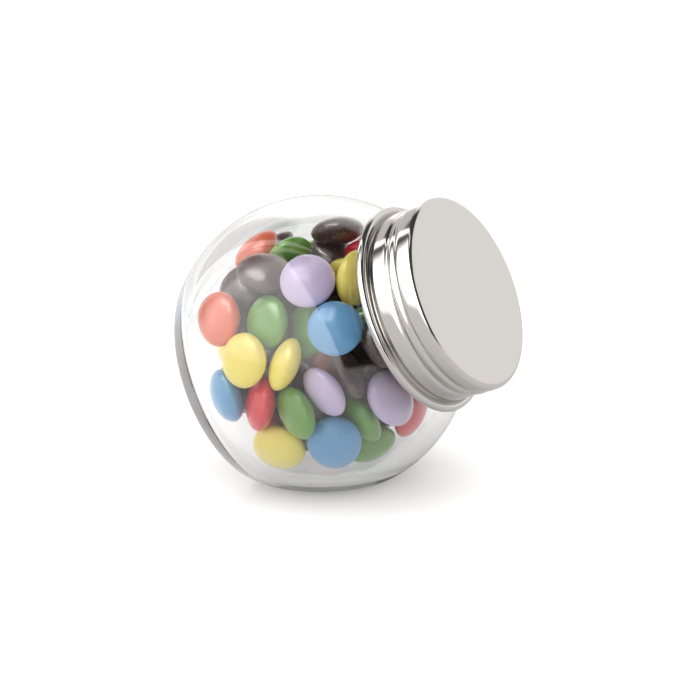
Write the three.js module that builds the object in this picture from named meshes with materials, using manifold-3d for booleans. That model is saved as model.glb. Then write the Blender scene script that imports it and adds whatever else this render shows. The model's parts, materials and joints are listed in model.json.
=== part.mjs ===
// A small round sweet jar: a thick glass ball with a flat to stand on, so that its neck leans forward,
// a pressed steel screw lid with a sealing disc, and a filling of sugar-coated chocolate lentils.
//
// Millimetres, +Z up. The origin is the middle of the flat that the jar stands on. The neck leans
// towards +X in the XZ plane. "Along" is the distance from the ball's centre along the neck's axis.
import * as THREE from "three";
import { mergeVertices } from "three/addons/utils/BufferGeometryUtils.js";
import Module from "manifold-3d";

const wasm = await Module();
wasm.setup();

// ---- Driving dimensions ----
const BALL_RADIUS = 40;
const CAVITY_RADIUS = 35.3;
const STAND_DEPTH = 34.6; // from the ball's centre down to the flat it stands on, leaning
const STAND_GLASS = 4.5;
const BASE_DEPTH = 26; // from the ball's centre back to the flat opposite the mouth
const BASE_GLASS = 5.5;
const BASE_RADIUS = 30.4;
const HEEL = { along: 1.6, bevel: 0.56 };
const NECK_RISE = 26; // degrees above the horizontal
const NECK_RADIUS = 23.6;
const MOUTH_RADIUS = 20.8;
const RIM = 46; // along
const LIP = 0.8; // the bevel of the rim, inside and out
const NECK_ROOT = { ball: 30.4, fillet: 31.8, neck: 33.2 }; // along, where the ball turns into the neck
const NECK_FILLET = 0.8;
const CUTTER_REACH = 4; // of the cavity past the rim
const THREAD_PITCH = 4;
const THREAD_TURNS = 1.1;
const THREAD_FOOT = 38.4; // along, where the glass thread starts
const GLASS_THREAD = { centre: NECK_RADIUS + 0.05, section: 0.9 };
const LID_THREAD = { centre: 24.85, section: 0.8 };
const LID_TOP = 47.6; // along, the outside of the lid's flat top
const LID_SIDE = [ // radius, and depth under the top, from the edge of the top down to the bead
  [24.3, 0], [25.3, 0.35], [25.85, 1.2], [26.15, 2.6], [26.15, 5], [25.75, 6.8], [25.22, 7.85],
  [25.6, 8.9], [25.65, 12.2], [25.4, 13.1],
];
const SHEET = 0.35;
const BEAD = { centre: 26.75, along: 32.6, section: 1.2, start: 100, end: -170, steps: 6 };
const LINER = { radius: 24, underside: 46.3, top: 46.95, waist: 19.6, relief: 0.25, bevel: 0.1 };
const SWEET = { radius: 6.9, half: 3.5 }; // half is half the thickness
const GAP = 0.3;
const MOUTH_CLEARANCE = 1.2; // extra room for the sweets round the inner edge of the mouth
const HEAP = { top: 31, start: -10, slope: 0.28 }; // height over the centre, and its fall from start on
const LOOSE_SWEETS = 66;
const SHOWN_LOOSE_SWEETS = 21;
const CORE_DROP = 4;
const AROUND = 48; // sides of the jar and the lid
const BALL_STEPS = { outside: 10, cavity: 9 };
const THREAD_STEPS = 36;
const THREAD_SIDES = 6; // of each half of its round section
const SWEET_SIDES = 12;
const SHOULDER = 0.72; // of a sweet's radius, where its faces start to fall away

const UP = new THREE.Vector3(0, 0, 1);
const NECK_ANGLE = THREE.MathUtils.degToRad(NECK_RISE);
const NECK_AXIS = new THREE.Vector3(Math.cos(NECK_ANGLE), 0, Math.sin(NECK_ANGLE));
const NECK_FRAME = new THREE.Matrix4()
  .makeRotationY(Math.PI / 2 - NECK_ANGLE)
  .setPosition(0, 0, STAND_DEPTH);

// ---- Materials ----
const steel = new THREE.MeshStandardMaterial({ color: 0xc9c5c1, roughness: 0.25, metalness: 1 });
const glass = new THREE.MeshStandardMaterial({
  color: 0xe9f0f1, roughness: 0.03, metalness: 0, transparent: true, opacity: 0.35,
});
const plastisol = new THREE.MeshStandardMaterial({ color: 0xe4e0d6, roughness: 0.6, metalness: 0 });
const SHELL_COLOURS = {
  orange: 0xe8603a, brown: 0x3f3130, green: 0x55a043, lilac: 0xb59bcb,
  yellow: 0xe8cf2a, blue: 0x5b9fd0, red: 0xd8323f, core: 0x4a2e22,
};
const sugar = Object.fromEntries(
  Object.entries(SHELL_COLOURS).map(([name, color]) => [
    name, new THREE.MeshStandardMaterial({ color, roughness: 0.35, metalness: 0 }),
  ]),
);

// ---- Solids ----
const point = (radius, along) => new THREE.Vector2(radius, along);

// A profile of (radius, along) points turned about the neck's axis, which becomes +Z.
function turned(profile, sides = AROUND) {
  return new THREE.LatheGeometry(profile, sides).rotateX(Math.PI / 2);
}

// Points on a circle round the ball's centre, from one place along the axis to another.
function ballArc(radius, from, to, steps) {
  const start = Math.asin(from / radius);
  const end = Math.asin(to / radius);
  return Array.from({ length: steps + 1 }, (_, i) => {
    const angle = start + ((end - start) * i) / steps;
    return point(radius * Math.cos(angle), radius * Math.sin(angle));
  });
}

function toSolid(geometry, matrix = new THREE.Matrix4()) {
  const bare = geometry.clone().applyMatrix4(matrix);
  bare.deleteAttribute("normal");
  bare.deleteAttribute("uv");
  const merged = mergeVertices(bare, 1e-4);
  return new wasm.Manifold(
    new wasm.Mesh({
      numProp: 3,
      vertProperties: merged.attributes.position.array,
      triVerts: new Uint32Array(merged.index.array),
    }),
  );
}

function toGeometry(solid) {
  const { vertProperties, triVerts } = solid.getMesh();
  const geometry = new THREE.BufferGeometry();
  geometry.setAttribute("position", new THREE.BufferAttribute(new Float32Array(vertProperties), 3));
  geometry.setIndex(new THREE.BufferAttribute(new Uint32Array(triVerts), 1));
  const flat = geometry.toNonIndexed();
  flat.computeVertexNormals();
  return flat;
}

// A screw line round +Z at one radius.
class Helix extends THREE.Curve {
  constructor(radius, foot, turns) {
    super();
    Object.assign(this, { radius, foot, turns });
  }

  getPoint(t, target = new THREE.Vector3()) {
    const angle = t * this.turns * 2 * Math.PI;
    return target.set(
      this.radius * Math.cos(angle),
      this.radius * Math.sin(angle),
      this.foot + t * this.turns * THREAD_PITCH,
    );
  }
}

function threadRidge({ centre, section }, foot) {
  const circle = new THREE.Shape().absarc(0, 0, section, 0, 2 * Math.PI);
  return new THREE.ExtrudeGeometry(circle, {
    steps: THREAD_STEPS, curveSegments: THREAD_SIDES, bevelEnabled: false,
    extrudePath: new Helix(centre, foot, THREAD_TURNS),
  });
}

// ---- Glass jar ----
function glassJar() {
  const outer = toSolid(
    turned([
      point(0, -BASE_DEPTH),
      point(BASE_RADIUS - HEEL.along, -BASE_DEPTH),
      point(BASE_RADIUS, -BASE_DEPTH + HEEL.bevel),
      ...ballArc(BALL_RADIUS, -BASE_DEPTH + HEEL.along, NECK_ROOT.ball, BALL_STEPS.outside),
      point(NECK_RADIUS + NECK_FILLET, NECK_ROOT.fillet),
      point(NECK_RADIUS, NECK_ROOT.neck),
      point(NECK_RADIUS, RIM - LIP),
      point(NECK_RADIUS - LIP, RIM),
      point(0, RIM),
    ]),
    NECK_FRAME,
  );
  const mouth = Math.sqrt(CAVITY_RADIUS ** 2 - MOUTH_RADIUS ** 2);
  const cavity = toSolid(
    turned([
      point(0, -BASE_DEPTH + BASE_GLASS),
      ...ballArc(CAVITY_RADIUS, -BASE_DEPTH + BASE_GLASS, mouth, BALL_STEPS.cavity),
      point(MOUTH_RADIUS, RIM - LIP),
      point(MOUTH_RADIUS + LIP, RIM),
      point(MOUTH_RADIUS + LIP, RIM + CUTTER_REACH),
      point(0, RIM + CUTTER_REACH),
    ]),
    NECK_FRAME,
  );
  const thread = toSolid(threadRidge(GLASS_THREAD, THREAD_FOOT), NECK_FRAME);
  const side = 4 * BALL_RADIUS;
  const block = new THREE.BoxGeometry(side, side, side).translate(0, 0, -side / 2);
  const table = toSolid(block);
  const cavityFloor = toSolid(block.translate(0, 0, STAND_GLASS));
  return toGeometry(outer.subtract(table).add(thread).subtract(cavity.subtract(cavityFloor)));
}

// ---- Screw lid ----
// Moves each point of an open profile to its right-hand side, square to the line through its neighbours.
function offset(profile, distance) {
  return profile.map((p, i) => {
    const run = profile[Math.min(i + 1, profile.length - 1)].clone().sub(profile[Math.max(i - 1, 0)]);
    return p.clone().add(point(run.y, -run.x).setLength(distance));
  });
}

function lidShell() {
  const side = LID_SIDE.map(([radius, depth]) => point(radius, LID_TOP - depth));
  const outside = [point(0, LID_TOP), ...side];
  const inside = offset(outside, SHEET);
  inside[0].set(0, LID_TOP - SHEET);
  const bead = Array.from({ length: BEAD.steps + 1 }, (_, i) => {
    const angle = THREE.MathUtils.degToRad(BEAD.start + ((BEAD.end - BEAD.start) * i) / BEAD.steps);
    return point(BEAD.centre + BEAD.section * Math.cos(angle), BEAD.along + BEAD.section * Math.sin(angle));
  });
  const skin = toSolid(turned([...outside, ...bead, ...inside.reverse()].reverse()));
  const ridge = toSolid(threadRidge(LID_THREAD, THREAD_FOOT + THREAD_PITCH / 2));
  return toGeometry(skin.add(ridge.intersect(toSolid(turned(lidEnvelope(inside))))));
}

// The solid that the lid's inside would fill, with its outer side half way into the sheet.
function lidEnvelope(inside) {
  const middle = inside.map((p) => p.clone().add(point(SHEET / 2, 0)));
  return [point(0, middle[0].y), ...middle.slice(0, -1), point(0, LID_TOP - SHEET / 2)];
}

function lidLiner() {
  const { radius, underside, top, waist, relief, bevel } = LINER;
  return turned([
    point(0, underside + relief),
    point(waist - relief, underside + relief),
    point(waist, underside),
    point(radius - bevel, underside),
    point(radius, top),
    point(0, top),
  ]);
}

// ---- Sweets ----
// Places are on the inside of the wall: a bearing round the ball's centre from +X, and a latitude over
// its equator, in degrees. A turn of 0 lies flat against the wall, and 90 stands on edge with its face
// towards its neighbours at the sides. A climb turns that face up or down. A sweet with a depth lies
// that many millimetres in from the wall, behind the edges of its neighbours.
const LAID_SWEETS = [
  // round the bottom
  ["orange", -119, -41, -20, -50, 0], ["yellow", -89, -39, 20, 60, 0], ["blue", -56, -34, -25, -75, 0],
  ["green", -14, -54, -30, -40, 0],
  // a hand's width up
  ["blue", -114, -13, -20, 20, 0], ["red", -97, -15, -45, -45, 0], ["green", -77, -16, -35, -5, 0],
  ["green", -36, -31, -75, 25, 1], ["orange", -4, -38, -65, 30, 2], ["red", 11, -34, -30, -50, 0],
  // round the middle
  ["yellow", -134, 3, 20, -50, 1], ["yellow", -101, 8, -15, -50, 0], ["yellow", -85, 8, -60, 0, 1],
  ["yellow", -72, 3, 80, -25, 2], ["lilac", -62, -5, -50, 25, 0], ["orange", -57, 7, 45, -25, 3],
  ["brown", -48, -1, 65, 40, 1], ["lilac", -27, -12, 45, 80, 0], ["brown", -33, 18, 30, 40, 1],
  // above the middle
  ["orange", -124, 22, 10, -35, 0], ["green", -97, 27, -15, 40, 0], ["green", -75, 27, -30, 5, 1],
  ["blue", -56, 26, -10, -25, 0], ["green", -33, 36, 55, -65, 2],
  // the top of the filling
  ["brown", -136, 41, 25, 25, 0], ["brown", -107, 50, 25, 50, 3], ["lilac", -70, 49, 15, -75, 0],
  ["yellow", -37, 51, 50, -60, 0], ["orange", -174, 54, 20, 0, 0],
  ["brown", 155, 48, 30, 0, 0], ["green", 138, 61, 5, 0, 0], ["green", 96, 62, 10, 0, 0],
  ["brown", 60, 79, 25, 0, 1], ["yellow", 10, 66, 40, 0, 1], ["red", 40, 62, 40, 0, 1],
];
const LOOSE_COLOURS = ["green", "yellow", "orange", "blue", "brown", "lilac", "red"];

// ---- How the sweets are settled ----
const SEED = 20;
const PACKING_ROUNDS = 900;
const LAID_MOBILITY = 0.03; // of a laid sweet on the wall, and more of a deeper one; a loose one has 1
const WALL_GAP = GAP + 0.15;
const WALL_STIFFNESS = 0.7; // the share of an overlap that one push takes away
const CONTACT_STIFFNESS = 0.8;
const HEAP_STIFFNESS = 0.5;
const INERTIA = 16; // square millimetres: how hard a sweet is to turn
const GOLDEN = 0.382; // the shorter part of the golden section
const SEARCH_STEPS = 12;
const OUTER_ZONE = { from: 24, lean: 0.6 }; // loose sweets this far out lean flat against the wall
const LAID_CLEARANCE = 9; // from a laid sweet to where a loose one starts
const HOMING_ROUNDS = 500; // the laid sweets are drawn back to their places this long
const HOMING = { shift: 0.1, turn: 0.1 };

// A repeatable random number source.
function makeRandom(seed) {
  let state = seed;
  return () => {
    state = (Math.imul(state, 1664525) + 1013904223) >>> 0;
    return state / 2 ** 32;
  };
}

function laidSweet([colour, bearing, latitude, turn, climb, depth]) {
  const [b, l, t, c] = [bearing, latitude, turn, climb].map(THREE.MathUtils.degToRad);
  const out = new THREE.Vector3(Math.cos(b) * Math.cos(l), Math.sin(b) * Math.cos(l), Math.sin(l));
  const aside = new THREE.Vector3(-Math.sin(b), Math.cos(b), 0);
  const up = out.clone().cross(aside);
  const axis = out.clone().multiplyScalar(Math.cos(t))
    .addScaledVector(aside, Math.sin(t) * Math.cos(c))
    .addScaledVector(up, Math.sin(t) * Math.sin(c));
  const centre = out.clone().multiplyScalar(CAVITY_RADIUS - GAP - depth - halfExtent(axis, out));
  const home = { axis: axis.clone(), centre: centre.clone(), out };
  return { colour, axis, centre, mobility: LAID_MOBILITY * (1 + 2 * depth), home };
}

function looseSweet(random, number, laid) {
  const centre = new THREE.Vector3();
  do {
    centre.set(random() - 0.5, random() - 0.5, random() - 0.5).multiplyScalar(2 * CAVITY_RADIUS);
  } while (
    wallDistance(centre).distance < SWEET.half
    || centre.z > heapTop(centre)
    || laid.some((sweet) => sweet.centre.distanceTo(centre) < LAID_CLEARANCE)
  );
  const axis = new THREE.Vector3(random() - 0.5, random() - 0.5, random() - 0.5).normalize();
  if (centre.length() > OUTER_ZONE.from) axis.lerp(centre.clone().normalize(), OUTER_ZONE.lean).normalize();
  return { colour: LOOSE_COLOURS[number % LOOSE_COLOURS.length], axis, centre, mobility: 1 };
}

const heapTop = (p) => HEAP.top - HEAP.slope * Math.max(0, p.x - HEAP.start);

function halfExtent(axis, direction) {
  const along = axis.dot(direction);
  return Math.sqrt(SWEET.radius ** 2 * (1 - along ** 2) + SWEET.half ** 2 * along ** 2);
}

// How far a point, measured from the ball's centre, is inside the cavity, and the way further in.
function wallDistance(p) {
  const along = p.dot(NECK_AXIS);
  const fromAxis = p.clone().addScaledVector(NECK_AXIS, -along);
  const fromMouth = MOUTH_RADIUS - MOUTH_CLEARANCE - fromAxis.length();
  const inNeck = along > 0 ? Math.min(fromMouth, LINER.underside - along) : -Infinity;
  const inBall = CAVITY_RADIUS - p.length();
  const neckOut = LINER.underside - along < fromMouth ? NECK_AXIS : fromAxis;
  const out = inBall >= inNeck ? p : neckOut;
  const room = { distance: Math.max(inBall, inNeck), inward: out.clone().normalize().negate() };
  const planes = [
    { distance: p.z + STAND_DEPTH - STAND_GLASS, inward: UP.clone() },
    { distance: along + BASE_DEPTH - BASE_GLASS, inward: NECK_AXIS.clone() },
  ];
  return planes.reduce((nearest, plane) => (plane.distance < nearest.distance ? plane : nearest), room);
}

// Points on a sweet's surface: the middles of its faces, its shoulders and its rim.
const SAMPLES = [new THREE.Vector3(0, 0, SWEET.half), new THREE.Vector3(0, 0, -SWEET.half)];
for (let side = 0; side < SWEET_SIDES; side++) {
  const angle = (2 * Math.PI * side) / SWEET_SIDES;
  const rim = new THREE.Vector3(Math.cos(angle), Math.sin(angle), 0).multiplyScalar(SWEET.radius);
  const shoulder = rim.clone().multiplyScalar(SHOULDER);
  const height = SWEET.half * Math.sqrt(1 - SHOULDER ** 2);
  SAMPLES.push(rim, shoulder.clone().setZ(height), shoulder.clone().setZ(-height));
}

const turnFrom = (axis) => new THREE.Quaternion().setFromUnitVectors(UP, axis);

// Pushes a sweet at a point of it: it shifts, and it turns about its own centre.
function push(sweet, lever, direction, depth) {
  const twist = lever.clone().cross(direction);
  const amount = depth / (1 + twist.lengthSq() / INERTIA);
  sweet.centre.addScaledVector(direction, amount);
  const angle = (twist.length() * amount) / INERTIA;
  if (angle > 1e-9) sweet.axis.applyAxisAngle(twist.normalize(), angle).normalize();
}

// The contact of two sweets as flattened balls: how much they must grow or shrink to touch, as F, which
// is under 1 where they overlap, and where and along which line they do. It is the greatest value of
// F(s) = s (1 - s) r' C(s)^-1 r, where C(s) mixes the two balls' own matrices.
function contact(one, other, fat) {
  const r = other.centre.clone().sub(one.centre);
  const wide = (SWEET.radius + fat) ** 2;
  const flat = wide - (SWEET.half + fat) ** 2;
  const solve = (s) => {
    const first = one.axis.clone().multiplyScalar(Math.sqrt(flat * (1 - s)));
    const second = other.axis.clone().multiplyScalar(Math.sqrt(flat * s));
    // C = wide I - first first' - second second', inverted by the Woodbury identity.
    const [a, b, c] = [wide - first.lengthSq(), -first.dot(second), wide - second.lengthSq()];
    const [p, q] = [first.dot(r), second.dot(r)];
    const scale = 1 / (wide * (a * c - b * b));
    const line = r.clone().divideScalar(wide)
      .addScaledVector(first, (c * p - b * q) * scale)
      .addScaledVector(second, (a * q - b * p) * scale);
    return { s, line, value: s * (1 - s) * r.dot(line) };
  };
  let [low, high] = [0.02, 0.98];
  for (let i = 0; i < SEARCH_STEPS; i++) {
    const [left, right] = [low + (high - low) * GOLDEN, high - (high - low) * GOLDEN];
    if (solve(left).value < solve(right).value) low = left;
    else high = right;
  }
  const { s, line, value } = solve((low + high) / 2);
  const lever = line.clone().multiplyScalar(wide)
    .addScaledVector(one.axis, -flat * one.axis.dot(line)).multiplyScalar(1 - s);
  return { value, r, lever, direction: line.normalize() };
}

// Draws a laid sweet back along the wall to its place. How deep it lies is left free.
function drawHome({ axis, centre, home }) {
  const away = home.centre.clone().sub(centre);
  away.addScaledVector(home.out, -away.dot(home.out));
  centre.addScaledVector(away, HOMING.shift);
  axis.lerp(home.axis, HOMING.turn).normalize();
}

// Moves the sweets apart and inside the glass until they no longer touch.
function settle(sweets) {
  for (let round = 0; round < PACKING_ROUNDS; round++) {
    for (const sweet of sweets) {
      if (sweet.home && round < HOMING_ROUNDS) drawHome(sweet);
      const turn = turnFrom(sweet.axis);
      for (const sample of SAMPLES) {
        const lever = sample.clone().applyQuaternion(turn);
        const place = sweet.centre.clone().add(lever);
        const { distance, inward } = wallDistance(place);
        if (distance < WALL_GAP) push(sweet, lever, inward, (WALL_GAP - distance) * WALL_STIFFNESS);
      }
      const over = sweet.centre.z + halfExtent(sweet.axis, UP) - heapTop(sweet.centre);
      if (over > 0 && !sweet.home) sweet.centre.z -= HEAP_STIFFNESS * over;
    }
    for (let i = 0; i < sweets.length; i++) {
      for (let j = i + 1; j < sweets.length; j++) {
        const [one, other] = [sweets[i], sweets[j]];
        if (one.centre.distanceToSquared(other.centre) > (2 * SWEET.radius + GAP) ** 2) continue;
        const { value, r, lever, direction } = contact(one, other, GAP / 2);
        if (value >= 1) continue;
        const depth = (1 - Math.sqrt(value)) * Math.abs(r.dot(direction));
        const total = one.mobility + other.mobility;
        const otherLever = lever.clone().sub(r);
        const share = (CONTACT_STIFFNESS * depth) / total;
        push(one, lever, direction.clone().negate(), share * one.mobility);
        push(other, otherLever, direction, share * other.mobility);
      }
    }
  }
}

function sweetGeometry() {
  const [edge, shoulder, face] = [SWEET.radius, SHOULDER * SWEET.radius, SWEET.half];
  const rise = face * Math.sqrt(1 - SHOULDER ** 2);
  const lower = [point(0, -face), point(shoulder, -rise), point(edge, 0)];
  return turned([...lower, point(shoulder, rise), point(0, face)], SWEET_SIDES);
}

// ---- Assembly ----
const jar = new THREE.Group();
jar.add(named("glass_jar", glassJar(), glass));

const neck = new THREE.Group();
NECK_FRAME.decompose(neck.position, neck.quaternion, neck.scale);
neck.add(named("lid_shell", lidShell(), steel));
neck.add(named("lid_liner", lidLiner(), plastisol));
jar.add(neck);

const filling = new THREE.Group();
filling.position.z = STAND_DEPTH;
jar.add(filling);

const random = makeRandom(SEED);
const laid = LAID_SWEETS.map(laidSweet);
const loose = Array.from({ length: LOOSE_SWEETS }, (_, i) => looseSweet(random, i, laid));
settle([...laid, ...loose]);
const coreCentre = new THREE.Vector3(0, 0, -CORE_DROP);
const outermost = loose
  .toSorted((a, b) => b.centre.distanceTo(coreCentre) - a.centre.distanceTo(coreCentre))
  .slice(0, SHOWN_LOOSE_SWEETS);

const counts = {};
for (const { colour, centre, axis } of [...laid, ...outermost]) {
  counts[colour] = (counts[colour] ?? 0) + 1;
  const name = `sweet_${colour}_${String(counts[colour]).padStart(2, "0")}`;
  const mesh = named(name, sweetGeometry(), sugar[colour]);
  mesh.position.copy(centre);
  mesh.quaternion.copy(turnFrom(axis));
  filling.add(mesh);
}

// The sweets that can't be seen are one ball in the middle, clear of all the others.
function clearanceFrom(place, { centre, axis }) {
  const turn = turnFrom(axis);
  const points = SAMPLES.map((sample) => sample.clone().applyQuaternion(turn).add(centre));
  return Math.min(...points.map((p) => p.distanceTo(place)));
}

const clearances = [...laid, ...outermost].map((sweet) => clearanceFrom(coreCentre, sweet));
const coreRadius = Math.min(...clearances) - GAP;
const core = named("sweet_core", new THREE.IcosahedronGeometry(coreRadius, 2), sugar.core);
core.position.copy(coreCentre);
filling.add(core);

function named(name, geometry, material) {
  const mesh = new THREE.Mesh(geometry, material);
  mesh.name = name;
  return mesh;
}

export default jar;
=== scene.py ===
"""Looks of a small leaning glass sweet jar with a steel screw lid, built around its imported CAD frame."""

import json
import logging
import math
from dataclasses import dataclass, field
from enum import Enum

import bmesh
import bpy
import numpy as np
from bpy.types import Material, Node, NodeSocket, NodeTree, Object
from mathutils import Matrix, Vector


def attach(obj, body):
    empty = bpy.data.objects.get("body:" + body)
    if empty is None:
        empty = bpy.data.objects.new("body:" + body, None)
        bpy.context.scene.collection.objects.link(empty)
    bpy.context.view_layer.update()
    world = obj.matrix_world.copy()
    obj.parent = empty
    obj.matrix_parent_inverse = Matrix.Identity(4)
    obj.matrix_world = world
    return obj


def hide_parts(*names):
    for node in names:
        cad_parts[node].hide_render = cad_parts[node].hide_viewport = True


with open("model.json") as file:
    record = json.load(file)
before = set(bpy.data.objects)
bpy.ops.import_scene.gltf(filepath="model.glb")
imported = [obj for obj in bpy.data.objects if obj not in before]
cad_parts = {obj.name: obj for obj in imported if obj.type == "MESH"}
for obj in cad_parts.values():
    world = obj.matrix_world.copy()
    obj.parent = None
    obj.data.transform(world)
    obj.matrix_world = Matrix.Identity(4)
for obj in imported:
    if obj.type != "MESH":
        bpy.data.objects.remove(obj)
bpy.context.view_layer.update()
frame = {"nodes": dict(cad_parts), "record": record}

logging.basicConfig(level=logging.INFO, format="%(levelname)s %(message)s")
log = logging.getLogger("sweet_jar")

MM = 0.001

Number = NodeSocket | float
Profile = list[tuple[float, float]]


class Hue(Enum):
    """The colours that the sweets come in, as linear red, green and blue."""

    ORANGE = (0.76, 0.125, 0.05)
    BROWN = (0.058, 0.031, 0.031)
    GREEN = (0.13, 0.31, 0.045)
    LILAC = (0.60, 0.49, 0.72)
    YELLOW = (0.92, 0.76, 0.14)
    BLUE = (0.13, 0.36, 0.64)
    RED = (0.72, 0.028, 0.05)


@dataclass(frozen=True)
class NeckFrame:
    """The axis that the neck and the lid share.

    "Along" is the distance from the ball's centre towards the lid's top.
    """

    centre: Vector
    axis: Vector

    @staticmethod
    def from_record(record: dict, lid_top_along: float) -> "NeckFrame":
        """Finds the axis from the mount on the lid's flat top.

        Args:
            record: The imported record.
            lid_top_along: How far along the lid's flat top is, in metres.

        Returns:
            The neck's frame.
        """
        mount = next(m for m in record["mounts"] if m["name"] == "lid_top")
        axis = Vector(mount["axis"]).normalized()
        return NeckFrame(Vector(mount["pos_m"]) - axis * lid_top_along, axis)

    def matrix(self) -> Matrix:
        """The turn and shift that take a piece modelled upright round +Z to its place."""
        return Matrix.Translation(self.centre) @ self.axis.to_track_quat("Z", "Y").to_matrix().to_4x4()


# ---- Modelling helpers ----


def deselect_all() -> None:
    """Leaves nothing selected, so that an operator acts only on what comes next."""
    if bpy.context.object and bpy.context.object.mode != "OBJECT":
        bpy.ops.object.mode_set(mode="OBJECT")
    bpy.ops.object.select_all(action="DESELECT")


def select_only(obj: Object) -> None:
    """Makes one object the only selected and the active one."""
    deselect_all()
    obj.select_set(True)
    bpy.context.view_layer.objects.active = obj


def settle_in_place(obj: Object, matrix: Matrix) -> None:
    """Moves an object by a matrix and bakes that into its mesh, so that it sits at the origin.

    Args:
        obj: The object.
        matrix: Where it goes.
    """
    select_only(obj)
    obj.matrix_world = matrix
    bpy.ops.object.transform_apply(location=True, rotation=True, scale=True)


def apply_modifiers(obj: Object) -> None:
    """Applies every modifier of an object in order."""
    select_only(obj)
    for modifier in list(obj.modifiers):
        bpy.ops.object.modifier_apply(modifier=modifier.name)


def finish_piece(obj: Object, body: str, nodes: list[str], material: Material) -> None:
    """Dresses a finished piece, makes it ride on its body and reports it.

    Args:
        obj: The piece.
        body: The body that it moves with.
        nodes: The CAD nodes that it stands for.
        material: Its material. A piece that already has materials keeps them.
    """
    if not obj.data.materials:
        obj.data.materials.append(material)
    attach(obj, body)
    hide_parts(*nodes)
    log.info("%s: %d faces, rides on %s", obj.name, len(obj.data.polygons), body)


def revolve_profile(name: str, profile: Profile, sides: int) -> Object:
    """Turns a profile about +Z: a ring is added at its first point and extruded from point to point.

    Args:
        name: The new object's name.
        profile: Pairs of radius and height, in metres. A radius of 0 closes the skin at that end.
        sides: How many faces go round.

    Returns:
        The new object, at the origin.
    """
    deselect_all()
    closed_start = profile[0][0] == 0
    first = profile[1] if closed_start else profile[0]
    bpy.ops.mesh.primitive_circle_add(
        vertices=sides, radius=first[0], location=(0, 0, first[1]),
        fill_type="TRIFAN" if closed_start else "NOTHING",
    )
    obj = bpy.context.object
    obj.name = name
    bpy.ops.object.transform_apply(location=True, rotation=False, scale=False)
    bpy.ops.object.mode_set(mode="EDIT")
    bpy.ops.mesh.select_mode(type="EDGE")
    mesh = bmesh.from_edit_mesh(obj.data)
    for edge in mesh.edges:
        edge.select_set(edge.is_boundary or edge.is_wire)
    mesh.select_flush_mode()
    bmesh.update_edit_mesh(obj.data)
    place = first
    for radius, height in profile[2 if closed_start else 1:]:
        bpy.ops.mesh.extrude_edges_move(TRANSFORM_OT_translate={"value": (0, 0, height - place[1])})
        if radius == 0:
            bpy.ops.mesh.merge(type="CENTER")
            break
        scale = radius / place[0]
        bpy.ops.transform.resize(value=(scale, scale, 1), center_override=(0, 0, height))
        place = (radius, height)
    bpy.ops.mesh.select_all(action="SELECT")
    bpy.ops.mesh.remove_doubles(threshold=1e-7)
    bpy.ops.mesh.normals_make_consistent(inside=False)
    bpy.ops.object.mode_set(mode="OBJECT")
    return obj


def shade(obj: Object, angle: float = 35.0) -> None:
    """Shades an object smooth, with creases sharper than an angle in degrees kept."""
    select_only(obj)
    bpy.ops.object.shade_smooth_by_angle(angle=math.radians(angle))


# ---- Shared shader groups ----


def new_group(name: str, inputs: dict[str, float], outputs: dict[str, str]) -> NodeTree:
    """Starts a shader node group.

    Args:
        name: Its name.
        inputs: Its number inputs and their default values.
        outputs: Its outputs and their socket types.

    Returns:
        The empty group with its sockets.
    """
    tree = bpy.data.node_groups.new(name, "ShaderNodeTree")
    for key, value in inputs.items():
        socket = tree.interface.new_socket(name=key, in_out="INPUT", socket_type="NodeSocketFloat")
        socket.default_value = value
    for key, kind in outputs.items():
        tree.interface.new_socket(name=key, in_out="OUTPUT", socket_type=kind)
    return tree


def set_or_link(tree: NodeTree, socket: NodeSocket, value: Number) -> None:
    """Sets a node's input to a number, or links an output to it."""
    if isinstance(value, (int, float)):
        socket.default_value = value
    else:
        tree.links.new(value, socket)


def mix_numbers(tree: NodeTree, share: Number, low: Number, high: Number) -> NodeSocket:
    """Mixes two numbers.

    Args:
        tree: The node tree.
        share: How much of the second.
        low: The first.
        high: The second.

    Returns:
        The mix's output.
    """
    node = tree.nodes.new("ShaderNodeMix")
    for key, value in (("Factor", share), ("A", low), ("B", high)):
        set_or_link(tree, node.inputs[key], value)
    return node.outputs["Result"]


def math_node(tree: NodeTree, operation: str, *values: Number) -> NodeSocket:
    """Adds a Math node.

    Args:
        tree: The node tree.
        operation: The node's operation.
        values: Its inputs.

    Returns:
        Its output.
    """
    node = tree.nodes.new("ShaderNodeMath")
    node.operation = operation
    for socket, value in zip(node.inputs, values):
        set_or_link(tree, socket, value)
    return node.outputs[0]


def smooth_step(tree: NodeTree, value: Number, start: Number, end: Number) -> NodeSocket:
    """Adds a smooth step from 1 at start to 0 at end.

    Args:
        tree: The node tree.
        value: What is measured.
        start: Where it begins to fall.
        end: Where it reaches 0.

    Returns:
        The step's output.
    """
    node = tree.nodes.new("ShaderNodeMapRange")
    node.interpolation_type = "SMOOTHSTEP"
    node.inputs["To Min"].default_value, node.inputs["To Max"].default_value = 1.0, 0.0
    for key, bound in (("Value", value), ("From Min", start), ("From Max", end)):
        set_or_link(tree, node.inputs[key], bound)
    return node.outputs["Result"]


def dot_product(tree: NodeTree, one: NodeSocket, other: NodeSocket | Vector) -> NodeSocket:
    """Adds the dot product of two vectors, of which the second may be a constant."""
    node = tree.nodes.new("ShaderNodeVectorMath")
    node.operation = "DOT_PRODUCT"
    tree.links.new(one, node.inputs[0])
    if isinstance(other, Vector):
        node.inputs[1].default_value = other
    else:
        tree.links.new(other, node.inputs[1])
    return node.outputs["Value"]


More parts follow.
